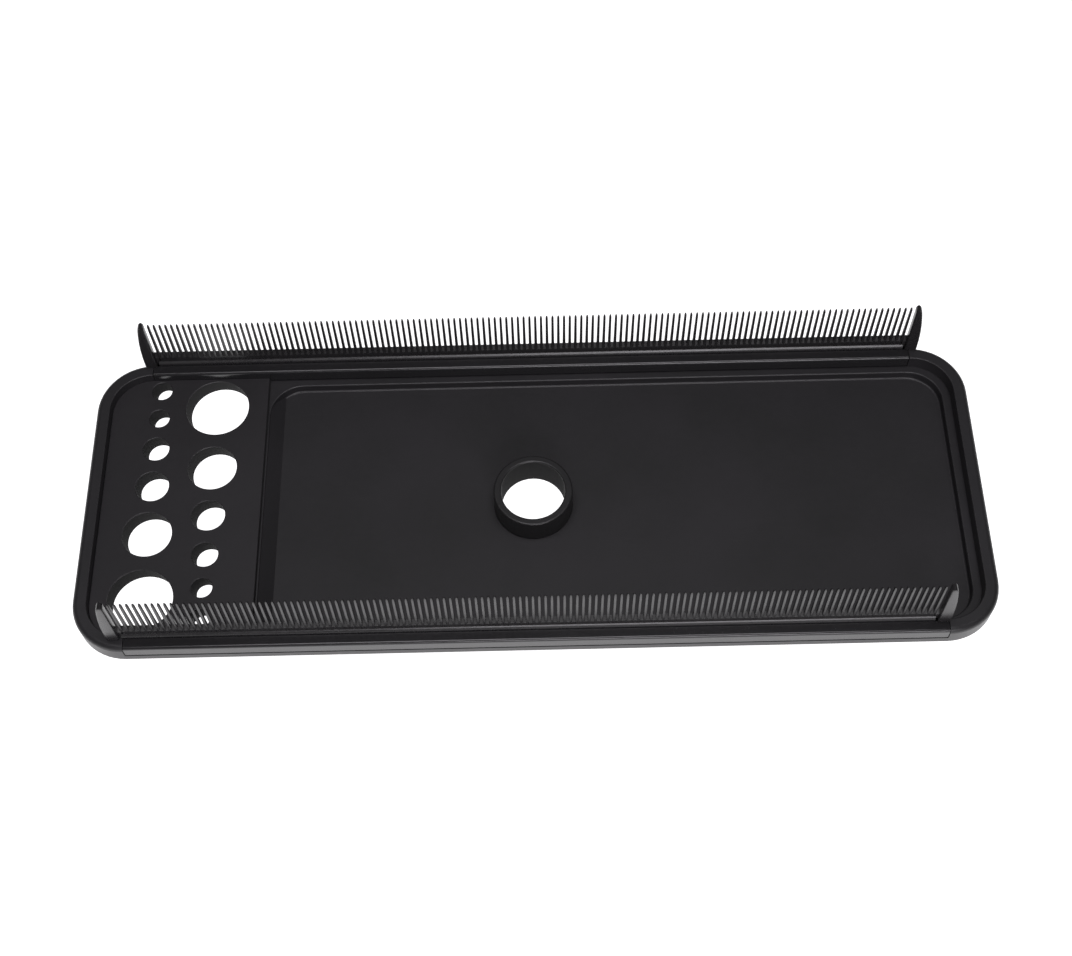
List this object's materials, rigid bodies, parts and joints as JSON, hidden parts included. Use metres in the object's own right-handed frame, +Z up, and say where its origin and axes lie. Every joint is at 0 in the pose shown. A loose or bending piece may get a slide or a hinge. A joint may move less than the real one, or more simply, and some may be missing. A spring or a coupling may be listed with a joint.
{
  "type": "pole-mounted salon tray",
  "caption": "Rounded black tray for a salon stand's pole, with a sunken floor, a centre sleeve, a tool rack with graded holes and an upright comb strip along each long side.",
  "frame": {"origin": "foot of the pole sleeve, on the pole's axis", "axes": "+X along the tray away from the tool rack, +Y towards the rear comb, +Z up along the pole"},
  "size_m": [0.4, 0.1458, 0.0692],
  "materials": {
    "shell_plastic": "fine moulded texture",
    "rack_plastic": "fine moulded texture",
    "sleeve_plastic": "smooth satin",
    "rail_plastic": "smooth gloss",
    "comb_plastic": "smooth gloss",
    "knob_plastic": "fine moulded texture",
    "pad_nylon": "natural nylon",
    "screw_steel": "zinc plated",
    "insert_brass": "turned"
  },
  "bodies": {
    "tray": {"tray_shell": "shell_plastic", "tool_rack_insert": "rack_plastic", "pole_sleeve": "sleeve_plastic", "sleeve_screws": "screw_steel", "thread_insert": "insert_brass", "front_rail": "rail_plastic", "rear_rail": "rail_plastic"},
    "front_comb_body": {"front_comb": "comb_plastic"},
    "rear_comb_body": {"rear_comb": "comb_plastic"},
    "pad_body": {"clamp_pad": "pad_nylon"},
    "knob_body": {"clamp_screw": "screw_steel", "clamp_knob": "knob_plastic"}
  },
  "joints": [
    {"name": "front_comb_lift", "type": "slide", "parent": "tray", "child": "front_comb_body", "axis": [0, 0, 1], "range_m": [0, 0.06]},
    {"name": "rear_comb_lift", "type": "slide", "parent": "tray", "child": "rear_comb_body", "axis": [0, 0, 1], "range_m": [0, 0.06]},
    {"name": "clamp_advance", "type": "slide", "parent": "tray", "child": "pad_body", "axis": [0, 1, 0], "range_m": [0, 0.003]},
    {"name": "clamp_turn", "type": "hinge", "parent": "pad_body", "child": "knob_body", "pos_m": [0, -0.04, -0.0123], "axis": [0, 1, 0], "range_deg": [0, 1080]}
  ],
  "couplings": [
    {"joint": "clamp_advance", "follows": "clamp_turn", "m_per_rad": 0.00015915}
  ]
}
